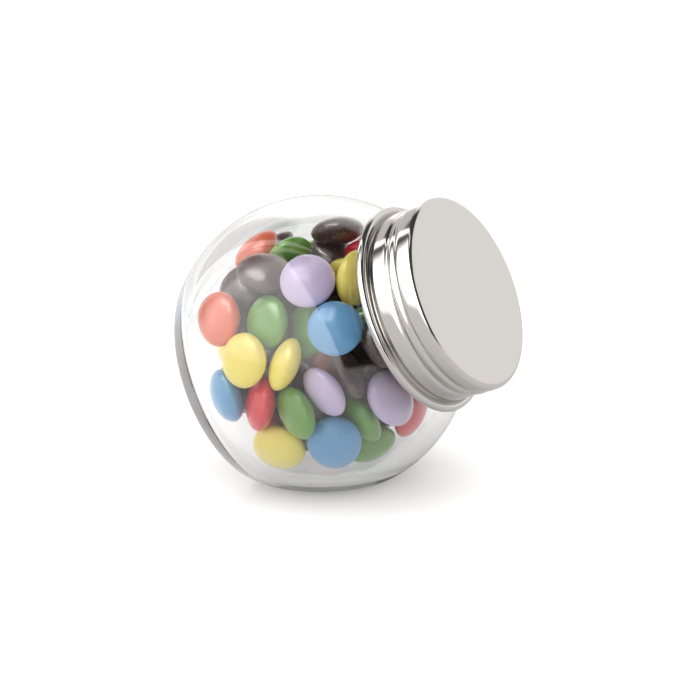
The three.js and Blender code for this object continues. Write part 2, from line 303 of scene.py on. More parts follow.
def surface_grain_group() -> NodeTree:
    """Fine uneven grain for any surface: a height, and a mask of small pale specks.

    Returns:
        A group with inputs Scale, Unevenness and Specks, and outputs Height and Speck Mask.
    """
    tree = new_group(
        "Surface Grain",
        {"Scale": 400.0, "Unevenness": 0.5, "Specks": 0.3},
        {"Height": "NodeSocketFloat", "Speck Mask": "NodeSocketFloat"},
    )
    nodes, links = tree.nodes, tree.links
    inside, outside = nodes.new("NodeGroupInput"), nodes.new("NodeGroupOutput")
    where = nodes.new("ShaderNodeTexCoord")
    swell, speck = nodes.new("ShaderNodeTexNoise"), nodes.new("ShaderNodeTexNoise")
    swell.inputs["Detail"].default_value = 3.0
    speck.inputs["Detail"].default_value = 2.0
    for noise in (swell, speck):
        links.new(where.outputs["Object"], noise.inputs["Vector"])
    links.new(inside.outputs["Scale"], swell.inputs["Scale"])
    links.new(math_node(tree, "MULTIPLY", inside.outputs["Scale"], 5.0), speck.inputs["Scale"])
    ramp = nodes.new("ShaderNodeValToRGB")
    ramp.color_ramp.elements[0].position, ramp.color_ramp.elements[1].position = 0.56, 0.74
    links.new(speck.outputs["Fac"], ramp.inputs["Fac"])
    height = math_node(tree, "MULTIPLY", swell.outputs["Fac"], inside.outputs["Unevenness"])
    mask = math_node(tree, "MULTIPLY", ramp.outputs["Color"], inside.outputs["Specks"])
    links.new(height, outside.inputs["Height"])
    links.new(mask, outside.inputs["Speck Mask"])
    return tree


# ---- Finishes ----


def new_material(name: str) -> tuple[Material, NodeTree, Node]:
    """Starts a material.

    Args:
        name: The material's name.

    Returns:
        The material, its node tree and its Principled shader.
    """
    material = bpy.data.materials.new(name)
    material.use_nodes = True
    tree = material.node_tree
    return material, tree, tree.nodes["Principled BSDF"]


def place_group(tree: NodeTree, group: NodeTree, **values: float | tuple[float, ...]) -> Node:
    """Places a node group in a material.

    Args:
        tree: The material's node tree.
        group: The group.
        values: Its input values, with underscores for the spaces in their names.

    Returns:
        The group's node.
    """
    node = tree.nodes.new("ShaderNodeGroup")
    node.node_tree = group
    for key, value in values.items():
        node.inputs[key.replace("_", " ")].default_value = value
    return node


def add_bump(tree: NodeTree, height: NodeSocket, distance: float, strength: float) -> None:
    """Feeds a height to the Principled shader's normal.

    Args:
        tree: The material's node tree.
        height: The output with the height.
        distance: The height of 1, in metres.
        strength: How much of it shows.
    """
    bump = tree.nodes.new("ShaderNodeBump")
    bump.inputs["Distance"].default_value = distance
    bump.inputs["Strength"].default_value = strength
    tree.links.new(height, bump.inputs["Height"])
    tree.links.new(bump.outputs["Normal"], tree.nodes["Principled BSDF"].inputs["Normal"])


@dataclass(frozen=True)
class ClearGlass:
    """Pressed soda-lime glass: clear, with faint waves in its surface and a stippled base that glows with
    painted light.
    """

    tint: tuple[float, float, float] = (0.985, 0.995, 0.992)
    ior: float = 1.5
    wave_scale: float = 45.0
    wave_height: float = 0.05 * MM
    wave_strength: float = 0.5
    shadow_pass: float = 0.92
    stipple_start: float = 19.4 * MM
    stipple_fade: float = 1.0 * MM
    stipple_roughness: float = 0.4
    swirl_scale: float = 70.0
    painted_swirl_glow: float = 0.22

    def build(self, grain: NodeTree, neck: NeckFrame) -> Material:
        """Makes the glass.

        Args:
            grain: The surface grain group.
            neck: The neck's frame, which the stippled base is square to.

        Returns:
            The material.
        """
        material, tree, shader = new_material("Clear Glass")
        shader.inputs["Base Color"].default_value = (*self.tint, 1)
        shader.inputs["IOR"].default_value = self.ior
        shader.inputs["Transmission Weight"].default_value = 1.0
        self._stipple_base(tree, shader, grain, neck)
        waves = place_group(tree, grain, Scale=self.wave_scale, Unevenness=1.0, Specks=0.0)
        add_bump(tree, waves.outputs["Height"], self.wave_height, self.wave_strength)
        self._pass_shadow_rays(tree, shader)
        return material

    def _stipple_base(
        self, tree: NodeTree, shader: Node, grain: NodeTree, neck: NeckFrame
    ) -> None:
        """Makes the glass behind the filling rough, with swirls of painted glow that brighten the base and
        hide the sweets' mirror images.

        Args:
            tree: The material's node tree.
            shader: Its Principled shader.
            grain: The surface grain group.
            neck: The neck's frame.
        """
        where = tree.nodes.new("ShaderNodeTexCoord")
        along = dot_product(tree, where.outputs["Object"], neck.axis)
        start = neck.centre.dot(neck.axis) - self.stipple_start
        mask = smooth_step(tree, along, start - self.stipple_fade, start)
        tree.links.new(math_node(tree, "MULTIPLY", mask, self.stipple_roughness), shader.inputs["Roughness"])
        swirls = place_group(tree, grain, Scale=self.swirl_scale, Unevenness=1.0, Specks=0.0)
        # Painted light: the swirls glow through the emission, so the base looks pale.
        pale = math_node(tree, "MULTIPLY", swirls.outputs["Height"], self.painted_swirl_glow)
        tree.links.new(math_node(tree, "MULTIPLY", mask, pale), shader.inputs["Emission Color"])
        shader.inputs["Emission Strength"].default_value = 1.0

    def _pass_shadow_rays(self, tree: NodeTree, shader: Node) -> None:
        """Lets shadow rays through the glass, so that its shadow stays pale.

        Args:
            tree: The material's node tree.
            shader: Its Principled shader.
        """
        clear = tree.nodes.new("ShaderNodeBsdfTransparent")
        clear.inputs["Color"].default_value = (self.shadow_pass,) * 3 + (1,)
        path, mix = tree.nodes.new("ShaderNodeLightPath"), tree.nodes.new("ShaderNodeMixShader")
        tree.links.new(path.outputs["Is Shadow Ray"], mix.inputs["Fac"])
        tree.links.new(shader.outputs["BSDF"], mix.inputs[1])
        tree.links.new(clear.outputs["BSDF"], mix.inputs[2])
        tree.links.new(mix.outputs["Shader"], tree.nodes["Material Output"].inputs["Surface"])


@dataclass(frozen=True)
class PolishedSteel:
    """Pressed tinplate: a warm grey mirror with faint rolling marks and handling haze."""

    colour: tuple[float, float, float] = (0.62, 0.60, 0.575)
    roughness: float = 0.11
    smoothest: float = 0.75
    roughest: float = 1.35

    def build(self, grain: NodeTree) -> Material:
        """Makes the steel.

        Args:
            grain: The surface grain group.

        Returns:
            The material.
        """
        material, tree, shader = new_material("Polished Steel")
        shader.inputs["Base Color"].default_value = (*self.colour, 1)
        shader.inputs["Metallic"].default_value = 1.0
        haze = place_group(tree, grain, Scale=160.0, Unevenness=1.0, Specks=0.5)
        spread = tree.nodes.new("ShaderNodeMapRange")
        spread.inputs["To Min"].default_value = self.roughness * self.smoothest
        spread.inputs["To Max"].default_value = self.roughness * self.roughest
        tree.links.new(haze.outputs["Height"], spread.inputs["Value"])
        tree.links.new(spread.outputs["Result"], shader.inputs["Roughness"])
        add_bump(tree, haze.outputs["Height"], 0.02 * MM, 0.25)
        return material


@dataclass(frozen=True)
class SugarCoat:
    """A hard sugar coat: satin gloss over a slightly uneven surface, with tiny paler specks."""

    hue: Hue
    speck: tuple[float, float, float] = (0.9, 0.88, 0.85)
    speck_share: float = 0.35
    roughness: float = 0.32
    gloss: float = 0.5
    gloss_roughness: float = 0.22
    grain_height: float = 0.16 * MM

    def build(self, grain: NodeTree) -> Material:
        """Makes the sugar coat.

        Args:
            grain: The surface grain group.

        Returns:
            The material.
        """
        material, tree, shader = new_material(f"Sugar Coat {self.hue.name.title()}")
        colour = Vector(self.hue.value)
        pale = colour.lerp(Vector(self.speck), self.speck_share)
        surface = place_group(tree, grain, Scale=330.0, Unevenness=1.0, Specks=0.3)
        mix = tree.nodes.new("ShaderNodeMix")
        mix.data_type = "RGBA"
        mix.inputs["A"].default_value = (*colour, 1)
        mix.inputs["B"].default_value = (*pale, 1)
        tree.links.new(surface.outputs["Speck Mask"], mix.inputs["Factor"])
        tree.links.new(mix.outputs["Result"], shader.inputs["Base Color"])
        shader.inputs["Roughness"].default_value = self.roughness
        shader.inputs["Coat Weight"].default_value = self.gloss
        shader.inputs["Coat Roughness"].default_value = self.gloss_roughness
        add_bump(tree, surface.outputs["Height"], self.grain_height, 0.6)
        return material


@dataclass(frozen=True)
class Plastisol:
    """The soft off-white sealing compound in the lid."""

    colour: tuple[float, float, float] = (0.76, 0.73, 0.66)

    def build(self, grain: NodeTree) -> Material:
        """Makes the compound.

        Args:
            grain: The surface grain group.

        Returns:
            The material.
        """
        material, tree, shader = new_material("Plastisol")
        shader.inputs["Base Color"].default_value = (*self.colour, 1)
        shader.inputs["Roughness"].default_value = 0.55
        skin = place_group(tree, grain, Scale=700.0, Unevenness=1.0, Specks=0.0)
        add_bump(tree, skin.outputs["Height"], 0.05 * MM, 0.5)
        return material


# ---- Glass jar ----


@dataclass
class GlassJar:
    """The thick glass ball with its two flats and its neck."""

    neck: NeckFrame
    ball_radius: float = 40.0 * MM
    cavity_radius: float = 35.3 * MM
    stand_glass: float = 4.5 * MM
    base_depth: float = 26.0 * MM
    base_glass: float = 5.5 * MM
    heel: float = 3.0 * MM
    punt_radius: float = 25.0 * MM
    punt_depth: float = 2.0 * MM
    ripple_height: float = 0.06 * MM
    ripples: float = 150.0
    neck_radius: float = 23.6 * MM
    neck_root: float = 30.6 * MM
    mouth_radius: float = 20.8 * MM
    rim: float = 46.0 * MM
    lip: float = 1.2 * MM
    thread_pitch: float = 4.0 * MM
    thread_turns: float = 1.1
    thread_foot: float = 38.4 * MM
    thread_height: float = 0.95 * MM
    thread_half_width: float = 0.75 * MM
    around: int = 192

    def build(self, material: Material) -> Object:
        """Models the jar.

        Args:
            material: Its glass.

        Returns:
            The finished jar.
        """
        outside = revolve_profile("glass_outside", self._outer_profile(), self.around)
        inside = revolve_profile("glass_inside", self._inner_profile(), self.around)
        self._raise_thread(outside)
        for skin in (outside, inside):
            settle_in_place(skin, self.neck.matrix())
        stand = self.neck.centre.z
        self._press_flats(outside, self.ball_radius, stand, self.base_depth)
        self._press_punt(outside)
        inner_base = self.base_depth - self.base_glass
        self._press_flats(inside, self.cavity_radius, stand - self.stand_glass, inner_base)
        jar = self._join(outside, inside)
        shade(jar, 60)
        finish_piece(jar, "jar", ["glass_jar"], material)
        return jar

    def _outer_profile(self) -> Profile:
        """The outside from the back of the ball to the rim."""
        shoulder = math.asin(self.neck_root / self.ball_radius)
        ball = arc(self.ball_radius, -math.pi / 2, shoulder, 110)
        fillet = [(25.2 * MM, 31.05 * MM), (24.6 * MM, 31.6 * MM), (24.1 * MM, 32.4 * MM)]
        straight = [(self.neck_radius, a) for a in np.linspace(33.2 * MM, self.rim - self.lip, 44)]
        return [*ball, *fillet, *straight, *self._lip(outwards=1)]

    def _inner_profile(self) -> Profile:
        """The cavity from its back to the rim."""
        mouth = math.acos(self.mouth_radius / self.cavity_radius)
        ball = arc(self.cavity_radius, -math.pi / 2, mouth - 0.06, 100)
        along = self.cavity_radius * math.sin(mouth)
        bend = [(21.3 * MM, along - 0.1 * MM), (20.95 * MM, along + 1.0 * MM)]
        straight = [(self.mouth_radius, a) for a in np.linspace(along + 2.4 * MM, self.rim - self.lip, 18)]
        return [*ball, *bend, *straight, *self._lip(outwards=-1)]

    def _lip(self, outwards: int) -> Profile:
        """Half of the rounded rim, up to its top: the outer half for 1, the inner half for -1."""
        middle = (self.neck_radius + self.mouth_radius) / 2
        half = (self.neck_radius - self.mouth_radius) / 2
        return [
            (middle + outwards * half * math.cos(a), self.rim - self.lip + self.lip * math.sin(a))
            for a in np.linspace(0.15, math.pi / 2, 8)
        ]

    def _raise_thread(self, skin: Object) -> None:
        """Pushes the screw thread out of the neck, with ends that fade."""
        for vertex in skin.data.vertices:
            x, y, along = vertex.co
            radius = math.hypot(x, y)
            if along < 33 * MM or radius < self.neck_radius - 0.1 * MM:
                continue
            turn = (math.atan2(y, x) % (2 * math.pi)) / (2 * math.pi)
            rise = 0.0
            for turned in (turn, turn + 1):
                fade = min(1.0, turned * 12, (self.thread_turns - turned) * 12)
                away = (along - self.thread_foot - turned * self.thread_pitch) / self.thread_half_width
                rise = max(rise, fade * self.thread_height * math.exp(-away * away))
            vertex.co.x *= 1 + rise / radius
            vertex.co.y *= 1 + rise / radius

    def _press_flats(self, skin: Object, radius: float, stand: float, base: float) -> None:
        """Presses the stand flat and the base flat into a ball, with rounded heels.

        Args:
            skin: The ball, in its place.
            radius: The ball's radius.
            stand: How far under the centre the stand flat is.
            base: How far behind the centre the base flat is.
        """
        for vertex in skin.data.vertices:
            ray = vertex.co - self.neck.centre
            if ray.length > radius * 1.001 or ray.dot(self.neck.axis) > 0.6 * radius:
                continue
            ray.normalize()
            reach = radius
            for down, depth in ((-ray.z, stand), (-ray.dot(self.neck.axis), base)):
                if down > 0.2:
                    reach = soft_lesser(reach, depth / down, self.heel)
            vertex.co = self.neck.centre + ray * reach

    def _press_punt(self, skin: Object) -> None:
        """Presses a shallow punt with fine rings into the base flat of the outside."""
        for vertex in skin.data.vertices:
            ray = vertex.co - self.neck.centre
            behind = -ray.dot(self.neck.axis)
            if behind <= self.base_depth - 0.02 * MM:
                continue
            aside = math.sqrt(max(ray.length_squared - behind * behind, 0)) / self.punt_radius
            rings = self.ripple_height * (1 + math.sin(aside * self.ripples)) * min(1.0, aside)
            vertex.co += self.neck.axis * (self.punt_depth * max(0.0, 1 - aside * aside) ** 1.5 + rings)

    def _join(self, outside: Object, inside: Object) -> Object:
        """Joins the two skins at the rim into one closed wall.

        Args:
            outside: The outer skin, facing out.
            inside: The cavity's skin.

        Returns:
            The closed jar.
        """
        select_only(outside)
        inside.select_set(True)
        bpy.ops.object.join()
        bpy.ops.object.mode_set(mode="EDIT")
        bpy.ops.mesh.select_all(action="SELECT")
        bpy.ops.mesh.remove_doubles(threshold=0.02 * MM)
        bpy.ops.mesh.normals_make_consistent(inside=False)
        bpy.ops.object.mode_set(mode="OBJECT")
        outside.name = "jar_glass"
        return outside


def arc(radius: float, start: float, end: float, count: int) -> Profile:
    """Points of a circle round the origin from the axis at its back, between two angles in radians."""
    points = [(radius * math.cos(a), radius * math.sin(a)) for a in np.linspace(start, end, count)]
    points[0] = (0, -radius)
    return points


def soft_lesser(a: float, b: float, blend: float) -> float:
    """The lesser of two lengths, rounded where they are within a blend length of each other."""
    mix = max(blend - abs(a - b), 0.0) / blend
    return min(a, b) - mix * mix * blend / 4


# ---- Screw lid ----


@dataclass
class ScrewLid:
    """The pressed steel lid: flat top, two bands with a rolled groove between, a curled bead."""

    neck: NeckFrame
    top: float = 47.6 * MM
    sheet: float = 0.35 * MM
    corner: float = 1.45 * MM
    corner_centre: float = 24.65 * MM
    flat_rings: tuple[float, ...] = (0.0, 6.0, 12.0, 18.0, 22.0, 24.0)
    band_step: float = 0.22 * MM
    curl: float = 1.2 * MM
    curl_centre: tuple[float, float] = (26.72 * MM, 32.65 * MM)
    thread_pitch: float = 4.0 * MM
    thread_foot: float = 40.4 * MM
    thread_depth: float = 0.5 * MM
    thread_half_width: float = 0.8 * MM
    threaded: tuple[float, float] = (38.5 * MM, 46.0 * MM)
    threaded_from: float = 25.0 * MM
    sides: int = 192
    anchors: Profile = field(
        default_factory=lambda: [
            (26.15, 44.6), (26.15, 43.0), (26.0, 41.6), (25.6, 40.5), (25.3, 39.9), (25.22, 39.6),
            (25.32, 39.25), (25.55, 38.85), (25.64, 38.2), (25.66, 36.6), (25.62, 35.4), (25.42, 34.7),
            (25.38, 34.3),
        ]
    )

    def build(self, material: Material) -> Object:
        """Models the lid.

        Args:
            material: Its steel.

        Returns:
            The finished lid.
        """
        lid = revolve_profile("lid_steel", self._profile(), self.sides)
        self._roll_thread(lid)
        wall = lid.modifiers.new("Sheet", "SOLIDIFY")
        wall.thickness = self.sheet
        wall.offset = -1
        apply_modifiers(lid)
        settle_in_place(lid, self.neck.matrix())
        shade(lid, 50)
        finish_piece(lid, "lid", ["lid_shell"], material)
        return lid

    def _profile(self) -> Profile:
        """The outside from the middle of the top to the end of the curl under the bead."""
        flat = [(r * MM, self.top) for r in self.flat_rings]
        start = self.top - self.corner
        bend = [
            (self.corner_centre + self.corner * math.sin(a), start + self.corner * math.cos(a))
            for a in np.linspace(0.0, math.pi / 2 - 0.12, 12)
        ]
        band = smooth_through([(r * MM, a * MM) for r, a in self.anchors], self.band_step)
        radius, along = self.curl_centre
        curl = [
            (radius + self.curl * math.cos(a), along + self.curl * math.sin(a))
            for a in np.linspace(math.radians(150), math.radians(-200), 26)
        ]
        return [*flat, *bend, *band, *curl]

    def _roll_thread(self, lid: Object) -> None:
        """Presses the screw groove into the upper band, with ends that fade."""
        low, high = self.threaded
        for vertex in lid.data.vertices:
            x, y, along = vertex.co
            radius = math.hypot(x, y)
            if not low < along < high or radius < self.threaded_from:
                continue
            turn = (math.atan2(y, x) % (2 * math.pi)) / (2 * math.pi)
            fade = min(1.0, turn * 8, (1 - turn) * 8)
            away = (along - self.thread_foot - turn * self.thread_pitch) / self.thread_half_width
            sink = fade * self.thread_depth * math.exp(-away * away)
            vertex.co.x *= 1 - sink / radius
            vertex.co.y *= 1 - sink / radius


def smooth_through(points: Profile, step: float) -> Profile:
    """A smooth line through points, as points about a step apart (Catmull-Rom)."""
    places = [Vector(p) for p in (points[0], *points, points[-1])]
    line = []
    for a, b, c, d in zip(places, places[1:], places[2:], places[3:]):
        count = max(1, round((c - b).length / step))
        for t in np.arange(count) / count:
            square, cube = 2 * a - 5 * b + 4 * c - d, 3 * b - a - 3 * c + d
            line.append(tuple(0.5 * (2 * b + (c - a) * t + square * t**2 + cube * t**3)))
    return [*line, tuple(places[-1])]


@dataclass
class LidLiner:
    """The ring of sealing compound that the glass rim bites into."""

    neck: NeckFrame
    radius: float = 24.0 * MM
    underside: float = 46.3 * MM
    top: float = 46.95 * MM
    waist: float = 19.6 * MM
    bite: float = 21.8 * MM
    relief: float = 0.25 * MM
    edge: float = 0.12 * MM
    sides: int = 128

    def build(self, material: Material) -> Object:
        """Models the liner.

        Args:
            material: Its compound.

        Returns:
            The finished liner.
        """
        disc, ring, edge = self.underside + self.relief, self.underside, self.edge
        profile = [
            (0, disc), (self.waist * 0.5, disc), (self.waist - 2 * self.relief, disc),
            (self.waist, ring + edge), (self.waist + self.relief, ring),
            (self.bite, ring + edge), (self.radius - 2 * edge, ring),
            (self.radius, ring + 2 * edge), (self.radius, self.top - edge), (self.radius - edge, self.top),
            (0, self.top),
        ]
        liner = revolve_profile("lid_seal", profile, self.sides)
        settle_in_place(liner, self.neck.matrix())
        shade(liner)
        finish_piece(liner, "liner", ["lid_liner"], material)
        return liner


# ---- Sweets ----


@dataclass
class LentilPacking:
    """Finds places for the hidden sweets, in millimetres from the ball's centre.

    Each sweet is a cluster of seven balls, one in its middle and six round it. The balls push each other
    away, and the wall, the floor and the top of the heap push them back.
    """

    centre_height: float
    room: float = 28.4
    floor: float = 4.6
    heap_top: float = 33.0
    heap_start: float = -10.0
    heap_slope: float = 0.28
    ball_radii: tuple[float, ...] = (3.3, *[2.2] * 6)
    ring: float = 4.55
    near: float = 14.5
    give: float = 0.18
    twist: float = 0.012
    spacing: float = 9.3
    jitter: float = 1.5
    start_room: float = 30.0
    start_height: float = 9.0
    start_margin: float = 4.0
    clearance: float = 7.0
    rounds: int = 260
    seed: int = 11

    def solve(self, fixed: np.ndarray, fixed_axes: np.ndarray) -> tuple[np.ndarray, np.ndarray]:
        """Lets the hidden sweets settle between the fixed ones.

        Args:
            fixed: The middles of the sweets that keep their places.
            fixed_axes: Their axes.

        Returns:
            The middles and the axes of the hidden sweets.
        """
        random = np.random.default_rng(self.seed)
        middles = self._starts(fixed, random)
        axes = random.normal(size=middles.shape)
        axes /= np.linalg.norm(axes, axis=1)[:, None]
        for _ in range(self.rounds):
            levers = np.concatenate([self._levers(axes), self._levers(fixed_axes)])
            everyone = np.concatenate([middles, fixed])
            balls = levers + everyone[:, None]
            shift, twist = np.zeros_like(middles), np.zeros_like(middles)
            for i in range(len(middles)):
                force = self._contact_force(i, everyone, balls)
                self._push_back(balls[i], force)
                shift[i] = force.sum(0) * self.give
                twist[i] = np.cross(levers[i], force).sum(0) * self.twist
            middles = middles + shift
            axes = axes + np.cross(twist, axes)
            axes /= np.linalg.norm(axes, axis=1)[:, None]
        return middles, axes

    def _levers(self, axes: np.ndarray) -> np.ndarray:
        """The places of each sweet's seven balls from its middle: one in the middle, six round it."""
        side = np.cross(axes, np.where(np.abs(axes[:, [2]]) < 0.9, [[0.0, 0.0, 1.0]], [[1.0, 0.0, 0.0]]))
        side /= np.linalg.norm(side, axis=1)[:, None]
        other = np.cross(axes, side)
        angles = np.arange(6) * math.pi / 3
        cosines, sines = np.cos(angles)[None, :, None], np.sin(angles)[None, :, None]
        ring = self.ring * (cosines * side[:, None] + sines * other[:, None])
        return np.concatenate([np.zeros((len(axes), 1, 3)), ring], axis=1)

    def _heap(self, x: np.ndarray) -> np.ndarray:
        """How high the heap reaches, which falls towards the neck."""
        return self.heap_top - self.heap_slope * np.clip(x - self.heap_start, 0, None)

    def _starts(self, fixed: np.ndarray, random: np.random.Generator) -> np.ndarray:
        """First places: points of a loose grid that are clear of the fixed sweets and inside the heap."""
        line = np.arange(-self.start_room, self.start_room + 1, self.spacing)
        grid = np.stack(np.meshgrid(line, line, line, indexing="ij"), -1).reshape(-1, 3)
        grid = grid + random.uniform(-self.jitter, self.jitter, grid.shape)
        inside = np.linalg.norm(grid, axis=1) < self.start_room
        inside &= grid[:, 2] < self._heap(grid[:, 0]) - self.start_margin
        inside &= grid[:, 2] + self.centre_height > self.start_height
        clear = np.linalg.norm(grid[:, None] - fixed[None], axis=2).min(1) > self.clearance
        return grid[inside & clear]

    def _contact_force(self, i: int, everyone: np.ndarray, balls: np.ndarray) -> np.ndarray:
        """How hard the neighbours of a sweet push each of its balls.

        Args:
            i: The sweet.
            everyone: The middles of all the sweets.
            balls: The places of all their balls.

        Returns:
            A force for each ball.
        """
        others = np.linalg.norm(everyone - everyone[i], axis=1) < self.near
        others[i] = False
        between = balls[i][:, None, None] - balls[others][None]
        distance = np.linalg.norm(between, axis=3)
        sizes = np.array(self.ball_radii)
        over = np.clip((sizes[:, None] + sizes[None, :])[:, None] - distance, 0, None)
        return (between / np.maximum(distance, 1e-6)[..., None] * over[..., None]).sum((1, 2))

    def _push_back(self, balls: np.ndarray, force: np.ndarray) -> None:
        """Adds the push of the wall, the floor and the top of the heap to a sweet's forces.

        Args:
            balls: The places of its balls.
            force: The force for each ball, which is changed.
        """
        sizes = np.array(self.ball_radii)
        far = np.linalg.norm(balls, axis=1)
        out = balls / np.maximum(far, 1e-6)[:, None]
        force -= out * np.clip(far + sizes - self.room, 0, None)[:, None]
        force[:, 2] += np.clip(self.floor + sizes - (balls[:, 2] + self.centre_height), 0, None)
        force[:, 2] -= 0.5 * np.clip(balls[:, 2] + sizes - self._heap(balls[:, 0]), 0, None)


@dataclass
class SweetFilling:
    """The sugar-coated lentils: one fine piece for each CAD sweet, and the hidden ones between them."""

    centre: Vector
    radius: float = 6.9 * MM
    half: float = 3.5 * MM
    fullness: float = 1.08
    front: Vector = field(default_factory=lambda: Vector((0.42, -0.85, 0.32)))
    # Hidden sweets in front of this depth are brown: painted shade in the gaps between the shown sweets.
    brown_shade_from: float = -6.0 * MM
    shown_from: float = 14.0 * MM
    cover_reach: float = 9.0 * MM
    sides: int = 40
    rings: int = 20

    def build(self, coats: dict[Hue, Material]) -> None:
        """Models all the sweets.

        Args:
            coats: The sugar coat for each colour.
        """
        template = self._lentil()
        shown = []
        for name, node in sorted(frame["nodes"].items()):
            if not name.startswith("sweet_") or name == "sweet_core":
                continue
            middle, axis = self._placing(node)
            shown.append((middle, axis))
            sweet = self._copy(template, name.replace("sweet", "lentil"), middle, axis)
            hue = Hue[name.split("_")[1].upper()]
            finish_piece(sweet, "jar", [name], coats[hue])
        self._fill_between(template, shown, coats)
        bpy.data.objects.remove(template)

    def _lentil(self) -> Object:
        """One lentil round +Z: a ball pressed flat, with faces fuller than an ellipse's."""
        deselect_all()
        bpy.ops.mesh.primitive_uv_sphere_add(segments=self.sides, ring_count=self.rings, radius=self.radius)
        lentil = bpy.context.object
        for vertex in lentil.data.vertices:
            rise = vertex.co.z / self.radius
            vertex.co.z = self.half * math.copysign(abs(rise) ** self.fullness, rise)
        select_only(lentil)
        bpy.ops.object.shade_smooth()
        return lentil

    @staticmethod
    def _placing(node: Object) -> tuple[Vector, Vector]:
        """The middle of a CAD sweet and the axis that it is flat along."""
        points = np.unique(np.array([v.co for v in node.data.vertices]).round(7), axis=0)
        middle = (points.max(0) + points.min(0)) / 2
        spread = np.linalg.eigh(np.cov((points - middle).T))
        return Vector(middle), Vector(spread[1][:, 0])

    @staticmethod
    def _copy(template: Object, name: str, middle: Vector, axis: Vector) -> Object:
        """A copy of the template with its own mesh, in its place."""
        mesh = template.data.copy()
        turn = axis.to_track_quat("Z", "Y").to_matrix().to_4x4()
        mesh.transform(Matrix.Translation(middle) @ turn)
        copy = bpy.data.objects.new(name, mesh)
        bpy.context.scene.collection.objects.link(copy)
        return copy

    def _fill_between(
        self, template: Object, shown: list[tuple[Vector, Vector]], coats: dict[Hue, Material]
    ) -> None:
        """Packs the hidden sweets into the room that the shown ones leave, as one piece. Those towards the
        front are brown, as painted shade between the shown sweets.

        Args:
            template: The lentil to copy.
            shown: The middle and axis of each shown sweet.
            coats: The sugar coat for each colour.
        """
        fixed = np.array([m - self.centre for m, _ in shown]) / MM
        fixed_axes = np.array([a for _, a in shown])
        packed = zip(*LentilPacking(self.centre.z / MM).solve(fixed, fixed_axes))
        places = [(self.centre + Vector(m) * MM, Vector(a)) for m, a in packed]
        places = [place for place in places if not self._covers(place[0], shown)]
        hues = list(Hue)
        group = []
        for i, (middle, axis) in enumerate(places):
            copy = self._copy(template, f"hidden_{i}", middle, axis)
            for hue in hues:
                copy.data.materials.append(coats[hue])
            # Painted shade: hidden sweets towards the front are all brown, so the gaps between the shown
            # sweets look dark. Of the rest, every other one is brown.
            in_front = (middle - self.centre).dot(self.front) > self.brown_shade_from
            hue = hues.index(Hue.BROWN) if i % 2 or in_front else (i // 2 * 3) % len(hues)
            for polygon in copy.data.polygons:
                polygon.material_index = hue
            group.append(copy)
        select_only(group[0])
        for copy in group[1:]:
            copy.select_set(True)
        bpy.ops.object.join()
        group[0].name = "lentils_between"
        finish_piece(group[0], "jar", ["sweet_core"], coats[Hue.BROWN])

    def _covers(self, middle: Vector, shown: list[tuple[Vector, Vector]]) -> bool:
        """Whether a hidden sweet would stand in front of a shown one on the jar's front.

        Args:
            middle: The hidden sweet's middle.
            shown: The middle and axis of each shown sweet.

        Returns:
            True if it would.
        """
        for other, _ in shown:
            between = other - middle
            behind = -between.dot(self.front)
            aside = (between + self.front * behind).length
            ahead = (other - self.centre).dot(self.front)
            if ahead > self.shown_from and behind > 0 and aside < self.cover_reach:
                return True
        return False


# ---- Stage ----


@dataclass(frozen=True)
class LightCard:
    """One light card of the studio: bearings and heights in degrees seen from the jar.

    Where it has an edge, only the directions on the edge's side of a slanting plane are lit.
    """

    name: str
    bearing: float
    half_width: float
    low: float
    high: float
    level: float
    softness: float = 2.0
    edge: tuple[float, float, float] = (0, 0, 0)
    edge_shift: float = 1.0

    def place(self, tree: NodeTree, group: NodeTree, looking: dict[str, NodeSocket]) -> NodeSocket:
        """Places the card in the world.

        Args:
            tree: The world's node tree.
            group: The light card group.
            looking: The direction that is looked in, as the group's inputs.

        Returns:
            The card's light in that direction.
        """
        node = place_group(
            tree, group, Centre=self.bearing, Half_Width=self.half_width, Low=self.low, High=self.high,
            Level=self.level, Softness=self.softness, Edge=self.edge, Edge_Shift=self.edge_shift,
        )
        node.label = self.name
        for key, socket in looking.items():
            tree.links.new(socket, node.inputs[key])
        return node.outputs["Light"]


def light_card_group() -> NodeTree:
    """A light card in the world: bright between two bearings and two heights, in degrees.

    Returns:
        A group that puts out Light for a Direction, its Bearing and its Height.
    """
    edge_sharpness = 40.0
    names = (
        "Bearing", "Height", "Centre", "Half Width", "Low", "High", "Level", "Softness", "Edge Shift",
    )
    tree = new_group("Light Card", dict.fromkeys(names, 0.0), {"Light": "NodeSocketFloat"})
    for key in ("Direction", "Edge"):
        tree.interface.new_socket(name=key, in_out="INPUT", socket_type="NodeSocketVector")
    inside, outside = tree.nodes.new("NodeGroupInput"), tree.nodes.new("NodeGroupOutput")
    get = inside.outputs
    away = math_node(tree, "SUBTRACT", get["Bearing"], get["Centre"])
    away = math_node(tree, "WRAP", away, 180.0, -180.0)
    brink = math_node(tree, "ADD", get["Half Width"], get["Softness"])
    side = smooth_step(tree, math_node(tree, "ABSOLUTE", away), get["Half Width"], brink)
    over = math_node(tree, "ADD", get["High"], get["Softness"])
    above = smooth_step(tree, get["Height"], get["High"], over)
    under = math_node(tree, "SUBTRACT", get["Low"], get["Softness"])
    below = smooth_step(tree, get["Height"], get["Low"], under)
    slant = dot_product(tree, get["Direction"], get["Edge"])
    past = math_node(tree, "ADD", slant, get["Edge Shift"])
    past = math_node(tree, "MULTIPLY", past, edge_sharpness)
    past.node.use_clamp = True
    light = get["Level"]
    for share in (side, above, below, past):
        light = math_node(tree, "MULTIPLY", light, share)
    tree.links.new(light, outside.inputs["Light"])
    return tree


